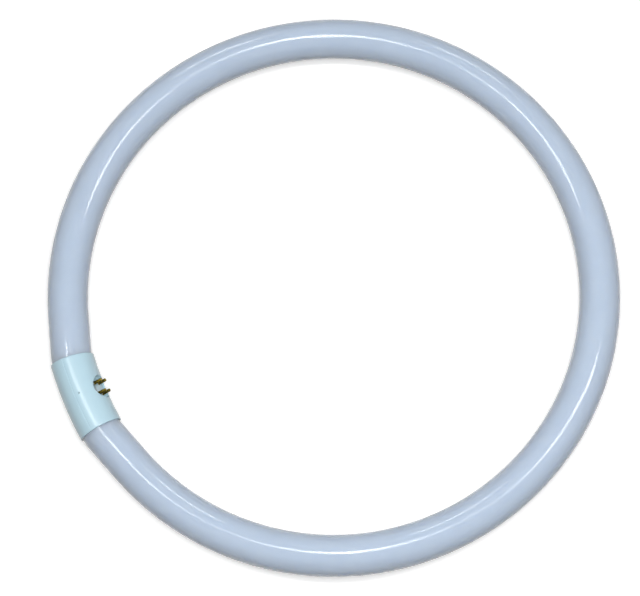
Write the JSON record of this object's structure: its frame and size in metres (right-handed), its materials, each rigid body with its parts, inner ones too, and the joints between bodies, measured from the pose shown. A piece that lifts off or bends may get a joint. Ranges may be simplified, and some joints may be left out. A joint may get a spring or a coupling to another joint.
{
  "type": "circular fluorescent tube",
  "caption": "Ring of coated glass tube whose ends meet in a moulded cap with contact pins on its inner side, for a round lamp fitting.",
  "frame": {"origin": "centre of the ring, in the plane of the tube's centreline", "axes": "+Z along the ring's axis with the ring lying flat, -X towards the middle of the cap, +Y along the tube there"},
  "size_m": [0.4089, 0.406, 0.031],
  "materials": {
    "coated_glass": "smooth drawn glass with a white powder coating on its inside, seen as a glossy pale grey-white",
    "cap_plastic": "moulded white plastic with a soft sheen",
    "pin_brass": "tarnished brass",
    "lead_metal": "drawn nickel-plated wire",
    "sleeve_braid": "woven glass-fibre sleeve"
  },
  "bodies": {
    "root": {"glass_tube": "coated_glass", "cap_pin_half": "cap_plastic", "cap_cover_half": "cap_plastic", "contact_pin_1": "pin_brass", "lead_wire_1": "lead_metal", "wire_sleeve_1": "sleeve_braid", "contact_pin_2": "pin_brass", "lead_wire_2": "lead_metal", "wire_sleeve_2": "sleeve_braid", "contact_pin_3": "pin_brass", "lead_wire_3": "lead_metal", "wire_sleeve_3": "sleeve_braid", "contact_pin_4": "pin_brass", "lead_wire_4": "lead_metal", "wire_sleeve_4": "sleeve_braid"}
  },
  "joints": []
}
